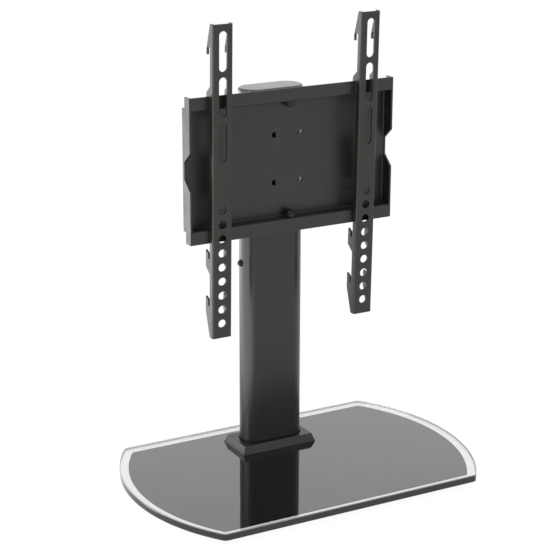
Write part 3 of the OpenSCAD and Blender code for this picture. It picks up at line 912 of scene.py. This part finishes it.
# %% [markdown]
# A socket screw is a shank with a chamfered tip under a head, with a hexagonal
# hole for the key. The three kinds here differ only in their profile: a straight
# head for the bracket, a low dome for the pivots and the flank, and a cone that
# sinks flush for the foot of the column. Heights are measured from where the head
# seats. A cut that runs exactly along an edge leaves slivers, so the key socket
# starts half a step away from the corners of the round it is cut from.

# %% Screws
SIDES = 48
HALF_STEP = math.pi / SIDES
COS_30 = math.cos(math.radians(30))
THIN_RIM = 0.15 * MM
DRILL_SHARE = 0.3
DOME_ANGLES = [math.radians(step) for step in (0, 15, 30, 45, 60)]
SCREW_SIZES = ["Head Radius", "Head Height", "Shank Radius", "Shank Length",
    "Chamfer", "Key Size", "Key Depth"]


def shank(tree, size):
    """The lower end of every screw's profile: a chamfered tip and a straight shank."""
    tip = maths(tree, "MULTIPLY", size["Shank Length"], -1.0)
    narrow = maths(tree, "SUBTRACT", size["Shank Radius"], size["Chamfer"])
    shoulder = maths(tree, "ADD", tip, size["Chamfer"])
    return [(0.0, tip), (narrow, tip), (size["Shank Radius"], shoulder)]


def with_key_socket(tree, body, size, top):
    """Cuts a hexagonal key socket with a drilled bottom down from a height."""
    reach = maths(tree, "DIVIDE", size["Key Size"], 2 * COS_30)
    bottom = maths(tree, "SUBTRACT", top, size["Key Depth"])
    drilled = maths(tree, "SUBTRACT", bottom, maths(tree, "MULTIPLY", reach, DRILL_SHARE))
    above = maths(tree, "ADD", top, THIN_RIM)
    prism = turned(tree, 6, [(0.0, drilled), (reach, bottom), (reach, above), (0.0, above)], HALF_STEP)
    return cut(tree, body, prism)


def straight_head(tree, size):
    """A cylinder head with a chamfered rim."""
    rim = maths(tree, "SUBTRACT", size["Head Height"], size["Chamfer"])
    narrow = maths(tree, "SUBTRACT", size["Head Radius"], size["Chamfer"])
    profile = shank(tree, size) + [(size["Shank Radius"], 0.0), (size["Head Radius"], 0.0),
        (size["Head Radius"], rim), (narrow, size["Head Height"]), (0.0, size["Head Height"])]
    return with_key_socket(tree, turned(tree, SIDES, profile), size, size["Head Height"])


def domed_head(tree, size):
    """A low dome that is flat on top, round the key socket."""
    full = math.sin(DOME_ANGLES[-1])
    dome = [(maths(tree, "MULTIPLY", size["Head Radius"], math.cos(a)),
             maths(tree, "MULTIPLY", size["Head Height"], math.sin(a) / full)) for a in DOME_ANGLES]
    profile = shank(tree, size) + [(size["Shank Radius"], 0.0)] + dome + [(0.0, size["Head Height"])]
    return with_key_socket(tree, turned(tree, SIDES, profile), size, size["Head Height"])


def sunk_head(tree, size):
    """A cone that lies flush with the surface."""
    cone = maths(tree, "MULTIPLY", size["Head Height"], -1.0)
    narrow = maths(tree, "SUBTRACT", size["Head Radius"], THIN_RIM)
    profile = shank(tree, size)
    profile += [(size["Shank Radius"], cone), (narrow, -THIN_RIM), (narrow, 0.0), (0.0, 0.0)]
    return with_key_socket(tree, turned(tree, SIDES, profile), size, 0.0)


cap_screw = part_tree("socket_cap_screw", SCREW_SIZES, straight_head)
button_screw = part_tree("button_head_screw", SCREW_SIZES, domed_head)
sunk_screw = part_tree("countersunk_screw", SCREW_SIZES, sunk_head)

# %% [markdown]
# Each set is placed from the box of the node that it stands for: the heads lie at
# the end that they face, and the shanks reach to the other end. Four cap screws
# hold the bracket and are reached with a key through the plate's four small
# holes. Two sunk screws come through the glass from below, and two more hold the
# column to its foot from behind. One low dome sits on the column's left flank.

# %% Place the screws
FRONTWARD = (math.radians(90), 0.0, 0.0)
REARWARD = (math.radians(-90), 0.0, 0.0)
DOWNWARD = (math.radians(180), 0.0, 0.0)
LEFTWARD = (0.0, math.radians(-90), 0.0)
UPWARD = (0.0, 0.0, 0.0)


def box_facts(node, radius):
    """The middle of a node's box, and the spacing of its outer parts in X, Y and Z."""
    low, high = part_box(node)
    return (low + high) / 2, [max(0.0, side - 2 * radius) for side in high - low], low, high


def place_screws(tree, name, node, finish, slot, turn, counts, head, shank, chamfer, key):
    """Screws that fill a node's box. A head is a radius and a height, a shank is a
    radius, and a key is a width and a depth."""
    middle, gaps, low, high = box_facts(node, head[0])
    facing = Euler(turn).to_matrix() @ Vector((0.0, 0.0, 1.0))
    reach = abs(facing.dot(high - low))
    standing = 0.0 if tree == sunk_screw else head[1]
    seat = middle + facing * (reach / 2 - standing)
    screws = make_set(tree, name, finish, tuple(seat), turn, *counts, (gaps[0], gaps[2]),
        Head_Radius=head[0], Head_Height=head[1], Shank_Radius=shank,
        Shank_Length=reach - standing, Chamfer=chamfer, Key_Size=key[0], Key_Depth=key[1])
    place_on(screws, "stand", slot, node)


place_screws(cap_screw, "bracket_cap_screws", "bracket_screws", black_oxide, "dark_steel",
    FRONTWARD, counts=(2, 2), head=(5.0 * MM, 3.4 * MM), shank=3.0 * MM, chamfer=0.5 * MM,
    key=(4.0 * MM, 1.5 * MM))
place_screws(sunk_screw, "anchor_sunk_screws", "anchor_screws", zinc, "zinc_steel",
    DOWNWARD, counts=(2, 1), head=(7.0 * MM, 3.0 * MM), shank=4.0 * MM, chamfer=0.8 * MM,
    key=(5.0 * MM, 2.2 * MM))
place_screws(sunk_screw, "column_sunk_screws", "foot_screws", zinc, "zinc_steel",
    REARWARD, counts=(2, 1), head=(4.6 * MM, 2.1 * MM), shank=2.5 * MM, chamfer=0.5 * MM,
    key=(3.0 * MM, 1.5 * MM))
place_screws(button_screw, "flank_dome_screw", "side_screw", black_oxide, "dark_steel",
    LEFTWARD, counts=(1, 1), head=(3.8 * MM, 3.6 * MM), shank=2.0 * MM, chamfer=0.4 * MM,
    key=(2.5 * MM, 1.4 * MM))

# %% [markdown]
# The plate swivels on two bolts, one through each web, with a nylon washer
# between the bracket's arm and the web. Each is held by a lock nut: a hexagon
# whose corners are turned off, under a round collar. The hexagon is the overlap
# of a prism and a turned blank. It takes two thirds of the nut's height, and its
# corners are turned off at about thirty degrees.

# %% Washers and lock nuts
WASHER_SIZES = ["Outer Radius", "Bore Radius", "Thickness", "Chamfer"]
NUT_SIZES = ["Across Flats", "Bore Radius", "Height", "Chamfer"]
HEXAGON_SHARE = 0.66
COLLAR_SHARE = 0.9
CORNER_SLOPE = 0.58


def flat_ring(tree, size):
    """A washer: a closed profile, chamfered on all four edges."""
    outer, bore, top, edge = (size[label] for label in WASHER_SIZES)
    out_edge = maths(tree, "SUBTRACT", outer, edge)
    bore_edge = maths(tree, "ADD", bore, edge)
    top_edge = maths(tree, "SUBTRACT", top, edge)
    return turned(tree, SIDES, [(bore_edge, 0.0), (out_edge, 0.0), (outer, edge), (outer, top_edge),
        (out_edge, top), (bore_edge, top), (bore, top_edge), (bore, edge), (bore_edge, 0.0)])


def lock_nut(tree, size):
    """A hexagon with turned corners, a round collar above it and a bore through both."""
    flats, bore, top, edge = (size[label] for label in NUT_SIZES)
    half = maths(tree, "DIVIDE", flats, 2.0)
    corner = maths(tree, "DIVIDE", half, COS_30)
    hex_top = maths(tree, "MULTIPLY", top, HEXAGON_SHARE)
    collar_radius = maths(tree, "MULTIPLY", half, COLLAR_SHARE)
    lip = maths(tree, "SUBTRACT", top, edge)
    lip_radius = maths(tree, "SUBTRACT", collar_radius, edge)
    low_edge = maths(tree, "MULTIPLY", maths(tree, "SUBTRACT", corner, half), CORNER_SLOPE)
    high_edge = maths(tree, "SUBTRACT", hex_top, low_edge)
    inside = maths(tree, "SUBTRACT", hex_top, edge)
    below = maths(tree, "MULTIPLY", edge, -1.0)
    above = maths(tree, "ADD", top, edge)
    prism = turned(tree, 6, [(0.0, below), (corner, below), (corner, above), (0.0, above)])
    blank = turned(tree, SIDES, [(0.0, 0.0), (half, 0.0), (corner, low_edge), (corner, high_edge),
        (half, hex_top), (0.0, hex_top)], HALF_STEP)
    hexagon = joined(tree, "INTERSECT", [prism, blank])
    collar = turned(tree, SIDES, [(0.0, inside), (collar_radius, inside), (collar_radius, lip),
        (lip_radius, top), (0.0, top)])
    whole = joined(tree, "UNION", [hexagon, collar])
    drill_profile = [(0.0, below), (bore, below), (bore, above), (0.0, above)]
    return cut(tree, whole, turned(tree, SIDES, drill_profile, HALF_STEP / 2))


washer = part_tree("flat_washer", WASHER_SIZES, flat_ring)
nut = part_tree("lock_nut", NUT_SIZES, lock_nut)

# %% [markdown]
# The two pivots are mirror images: the upper bolt stands head up over its nut and
# the lower one hangs head down, so one loop places both. Every length comes from
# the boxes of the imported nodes.

# %% Place the washers, pivots and nuts
ring = 5.6 * MM
middle, gaps, low, high = box_facts("bracket_washers", ring)
rings = make_set(washer, "bracket_flat_washers", zinc, (middle.x, high.y, middle.z),
    FRONTWARD, 2, 2, (gaps[0], gaps[2]), Outer_Radius=ring, Bore_Radius=3.2 * MM,
    Thickness=high.y - low.y, Chamfer=0.12 * MM)
place_on(rings, "stand", "zinc_steel", "bracket_washers")

for level, bolt_turn, nut_turn in (("upper", UPWARD, DOWNWARD), ("lower", DOWNWARD, UPWARD)):
    place_screws(button_screw, level + "_pivot_button_bolt", level + "_pivot_bolt", black_oxide,
        "dark_steel", bolt_turn, counts=(1, 1), head=(5.2 * MM, 3.6 * MM), shank=3.0 * MM,
        chamfer=0.5 * MM, key=(4.0 * MM, 1.8 * MM))
    middle, gaps, low, high = box_facts(level + "_pivot_washer", ring)
    disc = make_set(washer, level + "_pivot_nylon_washer", nylon, (middle.x, middle.y, low.z),
        Outer_Radius=ring, Bore_Radius=3.15 * MM, Thickness=high.z - low.z, Chamfer=0.15 * MM)
    place_on(disc, "stand", "nylon", level + "_pivot_washer")
    middle, gaps, low, high = box_facts(level + "_pivot_nut", 0.0)
    nut_seat = high.z if level == "upper" else low.z
    locked = make_set(nut, level + "_pivot_lock_nut", black_oxide,
        (middle.x, middle.y, nut_seat), nut_turn, Across_Flats=high.y - low.y,
        Bore_Radius=3.02 * MM, Height=high.z - low.z, Chamfer=0.35 * MM)
    place_on(locked, "stand", "dark_steel", level + "_pivot_nut")

# %% [markdown]
# Four rubber feet stand under the glass. A moulded foot tapers slightly so that it
# leaves its mould, has a rounded rim, and is hollowed underneath so that it grips
# like a weak suction cup.

# %% Rubber feet
FOOT_SIZES = ["Radius", "Height", "Taper", "Rim", "Hollow"]
HOLLOW_SHARE = 0.55
EASED_SHARE = 0.4


def moulded_foot(tree, size):
    """A tapered disc with a hollow, a rounded rim below and an eased edge above."""
    radius, top, taper, rim, hollow = (size[label] for label in FOOT_SIZES)
    base = maths(tree, "SUBTRACT", radius, taper)
    sole = maths(tree, "SUBTRACT", base, rim)
    curve = [math.radians(step) for step in (-90, -60, -30, 0)]
    rounding = [(maths(tree, "ADD", sole, maths(tree, "MULTIPLY", rim, math.cos(a))),
                 maths(tree, "MULTIPLY", rim, 1 + math.sin(a))) for a in curve]
    inner = maths(tree, "MULTIPLY", radius, HOLLOW_SHARE)
    wall = maths(tree, "SUBTRACT", inner, hollow)
    eased = maths(tree, "MULTIPLY", rim, EASED_SHARE)
    edge = maths(tree, "SUBTRACT", radius, eased)
    high_edge = maths(tree, "SUBTRACT", top, eased)
    profile = [(0.0, hollow), (wall, hollow), (inner, 0.0)] + rounding
    profile += [(radius, high_edge), (edge, top), (0.0, top)]
    return turned(tree, SIDES, profile)


foot = part_tree("moulded_foot", FOOT_SIZES, moulded_foot)
foot_radius = 12.0 * MM
middle, gaps, low, high = box_facts("rubber_feet", foot_radius)
feet = make_set(foot, "moulded_rubber_feet", rubber, (middle.x, middle.y, low.z),
    UPWARD, 2, 2, (gaps[0], gaps[1]), Radius=foot_radius, Height=high.z - low.z,
    Taper=0.9 * MM, Rim=1.2 * MM, Hollow=0.8 * MM)
place_on(feet, "stand", "rubber", "rubber_feet")

# %% [markdown]
# What is left is thin or inside: the print's own sheet, the gasket, the bushes and
# the nut behind the flank screw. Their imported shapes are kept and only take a
# finish.

# %% Finishes for the kept nodes
kept = {"underside_print": ink, "foot_gasket": rubber, "glass_bushes": nylon, "side_nut": zinc}
for node_name, finish in kept.items():
    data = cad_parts[node_name].data
    data.materials.clear()
    data.materials.append(finish)
print("kept nodes", ", ".join(kept))
